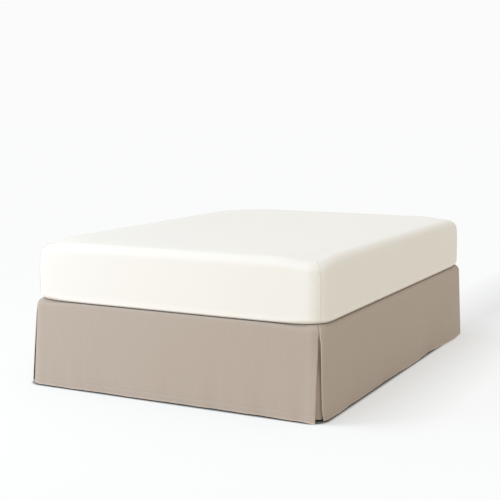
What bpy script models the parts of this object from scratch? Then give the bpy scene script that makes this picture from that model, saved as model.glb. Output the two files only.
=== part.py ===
"""A full-size bed dressed with a tailored valance, in metres with +Z up.

X runs across the bed and Y along it, with the foot at -Y and the head at +Y.
The valance is a platform sheet under the mattress with a flat drop on the foot and on each side.
The drops meet at the two foot corners in a split with an underlay behind it. The head is open.
"""

from math import cos, pi, radians, sin

import bmesh
import bpy
from mathutils import Vector

# Mattress, 54 x 75 inches
MATTRESS_WIDTH = 1.372
MATTRESS_LENGTH = 1.905
MATTRESS_TOP = 0.632
MATTRESS_CORNER = 0.072
MATTRESS_TOP_EDGE = 0.042
MATTRESS_BOTTOM_EDGE = 0.020
# The top sinks and draws in at the corners, over this distance from each
MATTRESS_SOFT = 0.220
MATTRESS_SINK = 0.018
MATTRESS_DRAW_IN = 0.005

# Facets round a block's upright corners and over its rims, and round the platform sheet's corners
BLOCK_CORNER_FACETS = 7
BLOCK_RIM_FACETS = 5
DECK_CORNER_FACETS = 9
# Heights closer than this are level with each other
SAME_LEVEL = 0.00001

# Cloth and the gap that touching pieces keep
CLOTH = 0.002
GAP = 0.0003

# Platform sheet, and the outer face that the drops hang from
DECK_TOP = 0.3733
SKIRT_WIDTH = 1.380
SKIRT_LENGTH = 1.914
SKIRT_CORNER = 0.060
SEAM_INSET = 0.035
SHOULDER = 0.033
HEM = 0.005
# The shoulder's section is a quarter circle, a power of 2, near the ends of the straight parts. Over this
# distance it grows squarer, to the power of its drop.
SQUARE_REACH = 0.200
FOOT_POWER = 5.0
SIDE_POWER = 2.6

# The sheet's corners lift, and the mattress on them: how far, over which distance from each corner, and
# by which share of the way down a drop this has faded. The mattress lifts a little more, to lie clear.
CORNER_LIFT = 0.007
LIFT_REACH = 0.150
LIFT_BY = 0.3
MATTRESS_LIFT_MORE = 1.3
# Flats that lift are cut at these distances from the sides of the sheet
LIFT_CUTS = (0.150, 0.125, 0.100, 0.080, 0.058)

# Corner splits: the foot drop turns this far round the corner, and the side drop takes the rest
FOOT_TURN = radians(37.5)
SIDE_TURN = radians(52.5)
HEAD_TURN = radians(67.5)
CORNER_STEP = radians(7.5)
# At its top, where it starts this share of the way down, each drop stops this far short of the split
SPLIT_TOP = 0.02
SPLIT_SHORT = 0.00036
# How far the split has opened: share of the way down, share of the full opening
SPLIT_OPEN = (
    (SPLIT_TOP, 0.12),
    (0.12, 0.36),
    (0.40, 0.44),
    (0.85, 0.64),
    (1.00, 1.00),
)
# At the hem, how far the side drops' front edges lie back from the split, and how far the foot drop's
# left end leans out after it. Both fade out over this distance along the drop.
SETBACK_RIGHT = 0.022
SETBACK_LEFT = 0.018
FOOT_LEAN = 0.014
SETBACK_REACH = 0.15

# Base and feet
BASE_WIDTH = 1.352
BASE_LENGTH = 1.884
BASE_CORNER = 0.075
BASE_TOP_EDGE = 0.022
BASE_BOTTOM_EDGE = 0.011
FOOT_HEIGHT = 0.045
FOOT_RADIUS = 0.030
FOOT_INSET = 0.110
FOOT_SIDES = 24

# Underlay behind each split: how far it runs on past the corner at both ends, its hem's height, how far it
# lies back and by which share of the way down, and where under the curve of the shoulder it starts
UNDERLAY_WING = 0.060
UNDERLAY_HEM = 0.009
UNDERLAY_SETBACK = 0.008
UNDERLAY_SETBACK_BY = 0.3
UNDERLAY_START = radians(35)

# How flat the right end of the foot drop hangs at the hem, where 0 is still turned round the corner,
# and the share of the way down by which it is as flat as that
FLAT = 0.9
FLAT_BY = 0.6

# How a drop swings out on its way down: 1 is evenly, less is sooner
FOOT_SWING = 0.9
RIGHT_SWING = 1.0
LEFT_SWING = 0.75

# Rows down a drop, as a share of the way from the shoulder to the hem, and columns along its straight part
DROP_ROWS = (SPLIT_TOP, 0.12, 0.28, 0.46, 0.64, 0.82, 1.0)
SHOULDER_STEPS = 4
FOOT_COLUMNS = 36
SIDE_COLUMNS = 40

# How far the hem stands out of the line of the top: place along the drop, distance out
FOOT_HEM = (
    (-0.67, 0.0210),
    (-0.60, 0.0195),
    (-0.53, 0.0210),
    (-0.32, 0.0180),
    (-0.07, 0.0190),
    (0.165, 0.0155),
    (0.39, 0.0165),
    (0.61, 0.0215),
    (0.66, 0.0300),
)
RIGHT_HEM = (
    (-0.93, 0.0020),
    (-0.77, 0.0050),
    (-0.64, 0.0010),
    (-0.45, 0.0025),
    (-0.25, -0.0020),
    (-0.10, 0.0020),
    (0.09, 0.0065),
    (0.33, 0.0020),
    (0.51, 0.0080),
    (0.75, 0.0270),
    (0.92, 0.0160),
)
LEFT_HEM = (
    (-0.93, 0.0285),
    (-0.68, 0.0200),
    (-0.42, 0.0240),
    (-0.12, 0.0150),
    (0.25, 0.0210),
    (0.55, 0.0120),
    (0.92, 0.0180),
)

# Soft upright folds: place along the drop, depth out (+) or in (-), half width, share down where it starts
FOOT_FOLDS = (
    (-0.530, -0.0020, 0.050, 0.25),
    (-0.463, 0.0022, 0.045, 0.30),
    (-0.307, -0.0024, 0.060, 0.20),
    (-0.177, 0.0020, 0.055, 0.35),
    (0.008, -0.0022, 0.065, 0.25),
    (0.153, 0.0024, 0.050, 0.30),
    (0.228, -0.0022, 0.045, 0.20),
    (0.362, 0.0020, 0.050, 0.40),
    (0.437, -0.0022, 0.045, 0.25),
    (0.550, 0.0024, 0.045, 0.30),
)
RIGHT_FOLDS = (
    (-0.58, 0.0020, 0.080, 0.30),
    (-0.33, 0.0020, 0.070, 0.35),
    (0.20, 0.0024, 0.080, 0.30),
    (0.40, -0.0060, 0.090, 0.10),
    (0.62, 0.0030, 0.080, 0.25),
)
LEFT_FOLDS = (
    (-0.55, -0.0040, 0.090, 0.20),
    (-0.05, 0.0030, 0.080, 0.30),
    (0.42, -0.0050, 0.090, 0.15),
)

# Plain colours of the four finishes
TAUPE = (0.44, 0.37, 0.31)
IVORY = (0.88, 0.86, 0.81)
GREY = (0.45, 0.43, 0.40)
BLACK = (0.03, 0.03, 0.03)

HALF_WIDTH = SKIRT_WIDTH / 2
HALF_LENGTH = SKIRT_LENGTH / 2
FOOT_STRAIGHT = HALF_WIDTH - SKIRT_CORNER
SIDE_STRAIGHT = HALF_LENGTH - SKIRT_CORNER
DROP = DECK_TOP - SHOULDER - HEM


def clear_scene():
    for thing in list(bpy.data.objects):
        bpy.data.objects.remove(thing, do_unlink=True)


def collection(name):
    made = bpy.data.collections.new(name)
    bpy.context.scene.collection.children.link(made)
    return made


def material(name, colour, roughness):
    made = bpy.data.materials.new(name)
    made.use_nodes = True
    shader = made.node_tree.nodes["Principled BSDF"]
    shader.inputs["Base Color"].default_value = (*colour, 1.0)
    shader.inputs["Roughness"].default_value = roughness
    shader.inputs["Metallic"].default_value = 0.0
    return made


def add_object(bm, name, finish, parts, smooth_angle=radians(40)):
    mesh = bpy.data.meshes.new(name)
    bm.to_mesh(mesh)
    bm.free()
    mesh.materials.append(finish)
    mesh.shade_smooth()
    mesh.set_sharp_from_angle(angle=smooth_angle)
    made = bpy.data.objects.new(name, mesh)
    parts.objects.link(made)
    return made


def thicken(thing):
    """Gives an open sheet its cloth thickness, on the inner side."""
    solid = thing.modifiers.new("cloth", "SOLIDIFY")
    solid.thickness = CLOTH
    solid.offset = -1.0
    solid.use_even_offset = True


def ease(share):
    share = min(max(share, 0.0), 1.0)
    return share * share * (3 - 2 * share)


def read_table(table, place):
    """Reads a (place, value) table, easing from each row to the next."""
    if place <= table[0][0]:
        return table[0][1]
    for (start, low), (end, high) in zip(table, table[1:]):
        if place <= end:
            return low + (high - low) * ease((place - start) / (end - start))
    return table[-1][1]


def fold_depth(folds, place, share):
    """Adds up the soft folds at one place along the drop and one share of the way down."""
    total = 0.0
    for middle, depth, half_width, start in folds:
        near = 1 - abs(place - middle) / half_width
        total += depth * ease(near) * ease((share - start) / (1 - start))
    return total


def steps(start, end, count):
    return [start + (end - start) * i / count for i in range(count + 1)]


def corner_steps(turn):
    """The places round a corner, measured along its arc, one for each corner step."""
    return [SKIRT_CORNER * CORNER_STEP * i for i in range(1, round(turn / CORNER_STEP) + 1)]


def corner_lift(x, y):
    """How far the platform sheet has lifted at a spot, which it does near the corners."""
    away = Vector((HALF_WIDTH - abs(x), HALF_LENGTH - abs(y))).length
    return CORNER_LIFT * ease(1 - away / LIFT_REACH)


def cut_flats(bm, distances):
    """Cuts a block or a sheet across, at distances from the sides and ends of the platform sheet."""
    for distance in distances:
        for spot in (Vector((HALF_WIDTH - distance, 0, 0)), Vector((0, HALF_LENGTH - distance, 0))):
            for cut in (spot, -spot):
                whole = [*bm.verts, *bm.edges, *bm.faces]
                bmesh.ops.bisect_plane(bm, geom=whole, plane_co=cut, plane_no=spot.normalized())


def plan_point(place, out, straight, reach):
    """A point of the rounded outline: its coordinate along the edge and its distance from the middle.

    The place runs along the outer face, past the straight part and on round the corner arcs.
    """
    past = abs(place) - straight
    if past <= 0:
        return place, reach + out
    angle = past / SKIRT_CORNER
    side = 1 if place > 0 else -1
    radius = SKIRT_CORNER + out
    return side * (straight + radius * sin(angle)), reach - SKIRT_CORNER + radius * cos(angle)


def section_rows():
    """Rows of a drop from its seam to its hem: distance out of the outer face, height, share down."""
    rows = [(-SEAM_INSET, DECK_TOP, 0.0)]
    for i in range(SHOULDER_STEPS + 1):
        angle = pi / 2 * i / SHOULDER_STEPS
        rows.append((SHOULDER * (sin(angle) - 1), DECK_TOP - SHOULDER * (1 - cos(angle)), 0.0))
    for share in DROP_ROWS:
        rows.append((0.0, DECK_TOP - SHOULDER - DROP * share, share))
    return rows


def shoulder(place, row, straight, full):
    """A row's distance out and its height, where the shoulder is squarer the further it is from an end."""
    out, height, share = row
    if share > 0 or out <= -SHOULDER:
        return out, height
    power = 2 + (full - 2) * ease((straight - abs(place)) / SQUARE_REACH)
    across = max(1 + out / SHOULDER, 0.0) ** (2 / power)
    up = max(1 - (DECK_TOP - height) / SHOULDER, 0.0) ** (2 / power)
    return SHOULDER * (across - 1), DECK_TOP - SHOULDER * (1 - up)


def sheet_from(places, rows, point, reverse=False):
    """A grid with one column for each place and one row for each row, moved onto its surface."""
    bm = bmesh.new()
    columns, lines = len(places) - 1, len(rows) - 1
    bmesh.ops.create_grid(bm, x_segments=columns, y_segments=lines, size=1.0)
    for vert in bm.verts:
        column = round((vert.co.x + 1) / 2 * columns)
        line = round((1 - vert.co.y) / 2 * lines)
        vert.co = Vector(point(places[column], rows[line]))
    if reverse:
        bmesh.ops.reverse_faces(bm, faces=bm.faces)
    return bm


def foot_point(place, row):
    """The foot drop. Below the split its right end lies flat, and its left end stays curled."""
    share = row[-1]
    out, height = shoulder(place, row, FOOT_STRAIGHT, FOOT_POWER)
    x, y = plan_point(place, out, FOOT_STRAIGHT, HALF_LENGTH)
    height += corner_lift(x, y) * (1 - ease(share / LIFT_BY))
    out += (read_table(FOOT_HEM, place) + fold_depth(FOOT_FOLDS, place, share)) * share**FOOT_SWING
    end = FOOT_STRAIGHT + SKIRT_CORNER * FOOT_TURN
    place -= FOOT_LEAN * read_table(SPLIT_OPEN, share) * ease(1 - (place + end) / SETBACK_REACH)
    x, y = plan_point(place, out, FOOT_STRAIGHT, HALF_LENGTH)
    if place > FOOT_STRAIGHT:
        flat = ease(share / FLAT_BY) * FLAT
        x += (place - x) * flat
        y += (HALF_LENGTH + out - y) * flat
    return x, -y, height


def side_point(side, setback, hem, folds, swing):
    """Returns the surface of a side drop. Its front edge draws back from the split towards the hem."""

    def point(place, row):
        share = row[-1]
        out, height = shoulder(place, row, SIDE_STRAIGHT, SIDE_POWER)
        y, x = plan_point(place, out, SIDE_STRAIGHT, HALF_WIDTH)
        height += corner_lift(x, y) * (1 - ease(share / LIFT_BY))
        end = SIDE_STRAIGHT + SKIRT_CORNER * SIDE_TURN
        place += setback * read_table(SPLIT_OPEN, share) * ease(1 - (place + end) / SETBACK_REACH)
        out += (read_table(hem, place) + fold_depth(folds, place, share)) * share**swing
        y, x = plan_point(place, out, SIDE_STRAIGHT, HALF_WIDTH)
        return side * x, y, height

    return point


def foot_panel(finish, parts):
    turned = [FOOT_STRAIGHT + step for step in corner_steps(FOOT_TURN)]
    turned[-1] -= SPLIT_SHORT
    straight = steps(-FOOT_STRAIGHT, FOOT_STRAIGHT, FOOT_COLUMNS)
    places = [-p for p in reversed(turned)] + straight + turned
    bm = sheet_from(places, section_rows(), foot_point)
    thicken(add_object(bm, "foot_panel", finish, parts))


def side_panel(name, side, point, finish, parts):
    front = [SIDE_STRAIGHT + step for step in corner_steps(SIDE_TURN)]
    front[-1] -= SPLIT_SHORT
    head = [SIDE_STRAIGHT + step for step in corner_steps(HEAD_TURN)]
    straight = steps(-SIDE_STRAIGHT, SIDE_STRAIGHT, SIDE_COLUMNS)
    places = [-p for p in reversed(front)] + straight + head
    bm = sheet_from(places, section_rows(), point, reverse=side < 0)
    thicken(add_object(bm, name, finish, parts))


def corner_underlay(name, side, finish, parts):
    """A narrow panel behind a split, caught under the shoulder of both drops and hanging clear of them."""
    inner = -(CLOTH + GAP)
    radius = SHOULDER - CLOTH - GAP
    top = DECK_TOP - SHOULDER
    rows = []
    for i in range(SHOULDER_STEPS + 1):
        angle = pi / 2 * i / SHOULDER_STEPS
        if angle >= UNDERLAY_START:
            out = inner - radius * (1 - sin(angle))
            rows.append((out, top + radius * cos(angle), 0.0))
    for share in DROP_ROWS:
        out = inner - UNDERLAY_SETBACK * ease(share / UNDERLAY_SETBACK_BY)
        rows.append((out, top - (top - UNDERLAY_HEM) * share, share))
    quarter = SKIRT_CORNER * pi / 2
    places = [-UNDERLAY_WING, -UNDERLAY_WING / 2, 0.0, *corner_steps(pi / 2)]
    places += [quarter + UNDERLAY_WING / 2, quarter + UNDERLAY_WING]

    def point(place, row):
        out, height, share = row
        angle = min(max(place / SKIRT_CORNER, 0.0), pi / 2)
        x = FOOT_STRAIGHT + (SKIRT_CORNER + out) * sin(angle) + min(place, 0.0)
        y = -SIDE_STRAIGHT - (SKIRT_CORNER + out) * cos(angle) + max(place - quarter, 0.0)
        height += corner_lift(x, y) * (1 - ease(share / LIFT_BY))
        return side * x, y, height

    bm = sheet_from(places, rows, point, reverse=side < 0)
    thicken(add_object(bm, name, finish, parts))


def deck(finish, parts):
    """The platform sheet, which the drops are sewn to all round but at the head."""
    inset = SEAM_INSET + GAP
    bm = bmesh.new()
    bmesh.ops.create_grid(bm, x_segments=1, y_segments=1, size=1.0)
    for vert in bm.verts:
        vert.co.x *= HALF_WIDTH - inset
        vert.co.y *= HALF_LENGTH - inset
        vert.co.z = DECK_TOP
    bmesh.ops.bevel(
        bm,
        geom=list(bm.verts),
        offset=SKIRT_CORNER - inset,
        offset_type="OFFSET",
        segments=DECK_CORNER_FACETS,
        profile=0.5,
        affect="VERTICES",
    )
    cut_flats(bm, LIFT_CUTS)
    for vert in bm.verts:
        vert.co.z += corner_lift(vert.co.x, vert.co.y)
    thicken(add_object(bm, "deck", finish, parts))


def bevel_edges(bm, edges, radius, segments):
    bmesh.ops.bevel(
        bm,
        geom=edges,
        offset=radius,
        offset_type="OFFSET",
        segments=segments,
        profile=0.5,
        affect="EDGES",
    )


def rounded_block(width, length, bottom, top, corner, top_edge, bottom_edge):
    """A box with rounded upright corners, then rounded rims."""
    bm = bmesh.new()
    bmesh.ops.create_cube(bm, size=1.0)
    for vert in bm.verts:
        vert.co.x *= width
        vert.co.y *= length
        vert.co.z = top if vert.co.z > 0 else bottom
    upright = [e for e in bm.edges if abs(e.verts[0].co.z - e.verts[1].co.z) > SAME_LEVEL]
    bevel_edges(bm, upright, corner, BLOCK_CORNER_FACETS)
    for level, radius in ((top, top_edge), (bottom, bottom_edge)):
        rim = [e for e in bm.edges if all(abs(v.co.z - level) < SAME_LEVEL for v in e.verts)]
        bevel_edges(bm, rim, radius, BLOCK_RIM_FACETS)
    return bm


def square_rims(bm):
    """Squares the mattress's lower rims at the foot and the head, as the shoulder of the foot drop is."""
    radius = MATTRESS_BOTTOM_EDGE
    end = MATTRESS_LENGTH / 2 - radius
    level = DECK_TOP + GAP + radius
    for vert in bm.verts:
        across = (abs(vert.co.y) - end) / radius
        down = (level - vert.co.z) / radius
        straight = MATTRESS_WIDTH / 2 - MATTRESS_CORNER - abs(vert.co.x)
        if min(across, down, straight) <= 0:
            continue
        power = 2 + (FOOT_POWER - 2) * ease(straight / SQUARE_REACH)
        side = 1 if vert.co.y > 0 else -1
        vert.co.y = side * (end + radius * across ** (2 / power))
        vert.co.z = level - radius * down ** (2 / power)


def soften_corners(bm):
    """Lets the top of the mattress sink and draw in near its corners, and its underside lift there."""
    cut_flats(bm, (MATTRESS_SOFT, *LIFT_CUTS))
    square_rims(bm)
    middle = (DECK_TOP + MATTRESS_TOP) / 2
    for vert in bm.verts:
        corner = Vector((MATTRESS_WIDTH / 2 - abs(vert.co.x), MATTRESS_LENGTH / 2 - abs(vert.co.y)))
        high = (vert.co.z - middle) / (MATTRESS_TOP - middle)
        vert.co.z += corner_lift(vert.co.x, vert.co.y) * MATTRESS_LIFT_MORE * ease(-high)
        soft = ease(high) * ease(1 - corner.length / MATTRESS_SOFT)
        vert.co.z -= MATTRESS_SINK * soft
        vert.co.x -= MATTRESS_DRAW_IN * soft * (1 if vert.co.x > 0 else -1)
        vert.co.y -= MATTRESS_DRAW_IN * soft * (1 if vert.co.y > 0 else -1)


def mattress(finish, parts):
    bm = rounded_block(
        MATTRESS_WIDTH,
        MATTRESS_LENGTH,
        DECK_TOP + GAP,
        MATTRESS_TOP,
        MATTRESS_CORNER,
        MATTRESS_TOP_EDGE,
        MATTRESS_BOTTOM_EDGE,
    )
    soften_corners(bm)
    add_object(bm, "mattress", finish, parts)


def base(finish, parts):
    bm = rounded_block(
        BASE_WIDTH,
        BASE_LENGTH,
        FOOT_HEIGHT,
        DECK_TOP - CLOTH - GAP,
        BASE_CORNER,
        BASE_TOP_EDGE,
        BASE_BOTTOM_EDGE,
    )
    add_object(bm, "base", finish, parts)


def feet(finish, parts):
    """Four feet near the corners and one under the middle."""
    across = BASE_WIDTH / 2 - FOOT_INSET
    along = BASE_LENGTH / 2 - FOOT_INSET
    spots = {
        "foot_front_left": (-across, -along),
        "foot_front_right": (across, -along),
        "foot_middle": (0.0, 0.0),
        "foot_head_left": (-across, along),
        "foot_head_right": (across, along),
    }
    height = FOOT_HEIGHT - GAP
    for name, (x, y) in spots.items():
        bm = bmesh.new()
        bmesh.ops.create_cone(
            bm,
            cap_ends=True,
            segments=FOOT_SIDES,
            radius1=FOOT_RADIUS,
            radius2=FOOT_RADIUS,
            depth=height,
        )
        bmesh.ops.translate(bm, vec=(0, 0, height / 2), verts=bm.verts)
        add_object(bm, name, finish, parts).location = (x, y, 0.0)


def centre_on_origin(parts):
    """Parents the bed to an empty that puts the middle of its outline over the origin."""
    bpy.context.view_layer.update()
    graph = bpy.context.evaluated_depsgraph_get()
    points = []
    for thing in parts.objects:
        shown = thing.evaluated_get(graph)
        points += [thing.matrix_world @ v.co for v in shown.data.vertices]
    middle = [(min(p[i] for p in points) + max(p[i] for p in points)) / 2 for i in range(2)]
    holder = bpy.data.objects.new("bed", None)
    for thing in parts.objects:
        thing.parent = holder
    parts.objects.link(holder)
    holder.location = (-middle[0], -middle[1], 0.0)


def main():
    clear_scene()
    parts = collection("bed_valance")
    taupe = material("taupe_cotton_twill", TAUPE, roughness=0.95)
    ivory = material("ivory_cotton_cover", IVORY, roughness=0.90)
    plain = material("base_fabric", GREY, roughness=0.95)
    black = material("foot_plastic", BLACK, roughness=0.55)
    mattress(ivory, parts)
    base(plain, parts)
    feet(black, parts)
    deck(taupe, parts)
    foot_panel(taupe, parts)
    right = side_point(1, SETBACK_RIGHT, RIGHT_HEM, RIGHT_FOLDS, RIGHT_SWING)
    left = side_point(-1, SETBACK_LEFT, LEFT_HEM, LEFT_FOLDS, LEFT_SWING)
    side_panel("side_panel_right", 1, right, taupe, parts)
    side_panel("side_panel_left", -1, left, taupe, parts)
    corner_underlay("corner_underlay_right", 1, taupe, parts)
    corner_underlay("corner_underlay_left", -1, taupe, parts)
    centre_on_origin(parts)


main()
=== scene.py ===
"""Looks of a full-size bed dressed with a tailored valance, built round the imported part.

X runs across the bed and Y along it, with the foot at -Y and the head at +Y. Lengths are in metres.
The shapes of the cloth are worked out in the bed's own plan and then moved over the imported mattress.
"""

from collections import namedtuple
from math import atan2, cos, hypot, pi, radians, sin, tanh

import bmesh
import bpy
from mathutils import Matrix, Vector
from mathutils.bvhtree import BVHTree


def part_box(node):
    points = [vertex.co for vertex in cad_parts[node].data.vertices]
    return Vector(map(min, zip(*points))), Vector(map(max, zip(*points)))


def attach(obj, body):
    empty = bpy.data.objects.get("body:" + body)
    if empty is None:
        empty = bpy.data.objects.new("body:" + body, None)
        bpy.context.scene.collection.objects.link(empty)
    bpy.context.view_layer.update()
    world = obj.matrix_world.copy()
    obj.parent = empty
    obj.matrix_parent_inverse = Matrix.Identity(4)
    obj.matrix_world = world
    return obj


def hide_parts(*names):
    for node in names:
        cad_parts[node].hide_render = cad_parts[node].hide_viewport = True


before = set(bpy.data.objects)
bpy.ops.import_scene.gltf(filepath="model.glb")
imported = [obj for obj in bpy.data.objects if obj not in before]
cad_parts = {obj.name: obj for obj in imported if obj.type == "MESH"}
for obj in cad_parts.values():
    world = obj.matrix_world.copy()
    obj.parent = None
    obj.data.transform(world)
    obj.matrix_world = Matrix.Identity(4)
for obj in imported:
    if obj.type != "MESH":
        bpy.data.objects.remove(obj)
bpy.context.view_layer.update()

Row = namedtuple("Row", "out height share down")

# Mattress, 54 x 75 inches
MATTRESS_WIDTH = 1.372
MATTRESS_LENGTH = 1.905
MATTRESS_TOP = 0.632
MATTRESS_CORNER = 0.072
MATTRESS_TOP_EDGE = 0.042
MATTRESS_BOTTOM_EDGE = 0.020
# The top sinks and draws in at the corners, over this distance from each
MATTRESS_SOFT = 0.220
MATTRESS_SINK = 0.018
MATTRESS_DRAW_IN = 0.005
# The cover is cut into patches of about this size, before they are halved
COVER_PATCH = 0.030
# It is laid out this much smaller all round, filled by pressure, and let out no further than this
COVER_SLACK = 0.0015
COVER_PRESSURE = 4.0
COVER_GIVE = 0.0045
COVER_FRAMES = 20
COVER_QUALITY = 6
COVER_MASS = 0.4
# Corners of the patches that lie closer than this are made one
MERGED = 0.0005
# The upright seam at each corner stands out as a ridge, on a crease that spreads over this turn. The
# ridge is half sunk into the cover. It starts above the platform sheet, goes up to below the rim, turns
# over the rim and ends a little way onto the sunk top.
SEAM_CREASE = 0.003
SEAM_SPREAD = radians(32)
SEAM_RIDGE = 0.0018
SEAM_PROUD = 0.5
SEAM_ABOVE_SHEET = 0.020
SEAM_BELOW_RIM = 0.045
SEAM_STEP = 0.012
SEAM_TURN_STEP = radians(9)
SEAM_RIM_LOW = 0.060
SEAM_ON_TOP = 0.020
SEAM_TOP_SUNK = 0.018

# Cloth and the gap that touching pieces keep
CLOTH = 0.002
GAP = 0.0003
# Cut edges are rounded this far, where the cloth turns by more than this angle
CUT_RIM = 0.0006
CUT_RIM_ANGLE = radians(60)
# Faces that meet at more than this angle keep a crisp edge
CRISP_ANGLE = radians(40)

# Platform sheet, and the outer face that the drops hang from
DECK_TOP = 0.3733
SKIRT_WIDTH = 1.380
SKIRT_LENGTH = 1.914
SKIRT_CORNER = 0.060
SEAM_INSET = 0.035
SHOULDER = 0.033
HEM = 0.005
# The shoulder's section is a quarter circle, a power of 2, near the ends of the straight parts. Over this
# distance it grows squarer, to the power of its drop.
SQUARE_REACH = 0.200
FOOT_POWER = 5.0
SIDE_POWER = 2.6

# The sheet's corners lift, and the mattress on them: how far, over which distance from each corner, and
# by which share of the way down a drop this has faded. The mattress lifts a little more, to lie clear.
CORNER_LIFT = 0.007
LIFT_REACH = 0.150
LIFT_BY = 0.3
MATTRESS_LIFT_MORE = 1.3

# Corner splits: the foot drop turns this far round each corner, and the side drop takes the rest
FOOT_TURN = radians(37.5)
SIDE_TURN = radians(52.5)
HEAD_TURN = radians(67.5)
# At its top, where it starts this share of the way down, each drop stops this far short of the split
SPLIT_TOP = 0.02
SPLIT_SHORT = 0.00036
# How far the split has opened: share of the way down, share of the full opening
SPLIT_OPEN = (
    (SPLIT_TOP, 0.12),
    (0.12, 0.36),
    (0.40, 0.44),
    (0.85, 0.64),
    (1.00, 1.00),
)
# At the hem, how far the side drops' front edges lie back from the split, and how far the foot drop's
# left end leans out after it. Both fade out over this distance along the drop.
SETBACK_RIGHT = 0.022
SETBACK_LEFT = 0.018
FOOT_LEAN = 0.014
SETBACK_REACH = 0.15

# Underlay behind each split: how far it runs on past the corner at both ends, its hem's height, how far it
# lies back and by which share of the way down, and where under the curve of the shoulder it starts
UNDERLAY_WING = 0.060
UNDERLAY_HEM = 0.009
UNDERLAY_SETBACK = 0.008
UNDERLAY_SETBACK_BY = 0.3
UNDERLAY_START = radians(35)

# How flat the right end of the foot drop hangs at the hem, where 0 is still turned round the corner,
# and the share of the way down by which it is as flat as that
FLAT = 0.9
FLAT_BY = 0.6
# The upper part of that end, below the top of the split, is pressed back along the drop: how far, over
# which distance along the drop, and by which shares of the way down it begins and has faded
PRESSED_BACK = 0.0038
PRESSED_REACH = 0.060
PRESSED_FROM = 0.06
PRESSED_BY = 0.80

# How a drop swings out on its way down: 1 is evenly, less is sooner
FOOT_SWING = 0.9
RIGHT_SWING = 1.0
LEFT_SWING = 0.75

# Turned hems: how high the hem at the floor is and how wide the ones at the splits are
HEM_HEIGHT = 0.030
EDGE_HEM = 0.014
HEM_TROUGH = 0.0006
HEM_TROUGH_REACH = 0.005
EDGE_ROLL = 0.0020
# This relief is whole from this share of the way down
RELIEF_BY = 0.3
# The folded edges carry a painted highlight over this distance, by these shares: at the hem on the floor,
# at the split on the foot drop and at the split on a side drop.
HIGHLIGHT_REACH = 0.007
HEM_PAINTED_HIGHLIGHT = 0.35
FOOT_EDGE_PAINTED_HIGHLIGHT = 0.10
SIDE_EDGE_PAINTED_HIGHLIGHT = 0.50
# A drop has no painted light or shade down its length. An underlay has painted shade in the depth of the
# split, and painted light further down, where it opens: share of the way down, share paler.
DROP_PAINTED_LIGHT_AND_SHADE = ((0.0, 0.0),)
UNDERLAY_PAINTED_LIGHT_AND_SHADE = ((0.08, -0.30), (0.30, -0.12), (0.55, 0.24))
# In the groove under the mattress the cloth has painted shade: share darker, and the distances inside the
# mattress's face at which that begins and is full. It fades over a distance before the ends of a drop.
FOOT_GROOVE_PAINTED_SHADE = (0.9, 0.002, 0.009)
SIDE_GROOVE_PAINTED_SHADE = (0.3, 0.008, 0.016)
NO_GROOVE_PAINTED_SHADE = (0.0, 0.0, 1.0)
GROOVE_SHADE_FADE = 0.240
# The cover has painted shade below this height, where it meets the sheet, and above it painted light up to
# another
COVER_PAINTED_SHADE = 0.35
COVER_SHADE_BY = 0.002
COVER_PAINTED_LIGHT = 0.15
COVER_LIGHT_BY = 0.030

# How finely the cloth is laid out
CLOTH_COLUMN = 0.011
CLOTH_ROWS = 34
SHOULDER_STEPS = 8
TURN_STEP = radians(4)
UNDERLAY_COLUMN = 0.010
UNDERLAY_CURVE_STEP = radians(8)
# Extra columns beside a split, at these distances from its edge, and extra rows above a hem. Even columns
# and rows keep clear of them.
EDGE_COLUMNS = (0.0, 0.001, 0.002, 0.0035, 0.005, 0.007, 0.009, 0.0115, 0.014, 0.0165, 0.019)
COLUMN_CLEAR = 0.001
HEM_ROWS = (0.004, 0.0015)
ROW_CLEAR = 0.002
# Facets round the platform sheet's corners, and over the rims of the mattress and the base, whose upright
# corners have some more
DECK_CORNER_FACETS = 12
BLOCK_FACETS = 8
MORE_CORNER_FACETS = 2

# How far the hem stands out of the line of the top: place along the drop, distance out
FOOT_HEM = (
    (-0.67, 0.0210),
    (-0.60, 0.0195),
    (-0.53, 0.0210),
    (-0.32, 0.0180),
    (-0.07, 0.0190),
    (0.165, 0.0155),
    (0.39, 0.0165),
    (0.61, 0.0215),
    (0.66, 0.0300),
)
RIGHT_HEM = (
    (-0.93, 0.0020),
    (-0.77, 0.0050),
    (-0.64, 0.0010),
    (-0.45, 0.0025),
    (-0.25, -0.0020),
    (-0.10, 0.0020),
    (0.09, 0.0065),
    (0.33, 0.0020),
    (0.51, 0.0080),
    (0.75, 0.0270),
    (0.92, 0.0160),
)
LEFT_HEM = (
    (-0.93, 0.0285),
    (-0.68, 0.0200),
    (-0.42, 0.0240),
    (-0.12, 0.0150),
    (0.25, 0.0210),
    (0.55, 0.0120),
    (0.92, 0.0180),
)

# Soft upright folds: place along the drop, depth out (+) or in (-), half width, share down where it starts
FOOT_FOLDS = (
    (-0.530, -0.0020, 0.050, 0.25),
    (-0.463, 0.0022, 0.045, 0.30),
    (-0.307, -0.0024, 0.060, 0.20),
    (-0.177, 0.0020, 0.055, 0.35),
    (0.008, -0.0022, 0.065, 0.25),
    (0.153, 0.0024, 0.050, 0.30),
    (0.228, -0.0022, 0.045, 0.20),
    (0.362, 0.0020, 0.050, 0.40),
    (0.437, -0.0022, 0.045, 0.25),
    (0.550, 0.0024, 0.045, 0.30),
)
RIGHT_FOLDS = (
    (-0.58, 0.0020, 0.080, 0.30),
    (-0.33, 0.0020, 0.070, 0.35),
    (0.20, 0.0024, 0.080, 0.30),
    (0.40, -0.0060, 0.090, 0.10),
    (0.62, 0.0030, 0.080, 0.25),
)
LEFT_FOLDS = (
    (-0.55, -0.0040, 0.090, 0.20),
    (-0.05, 0.0030, 0.080, 0.30),
    (0.42, -0.0050, 0.090, 0.15),
)
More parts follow.
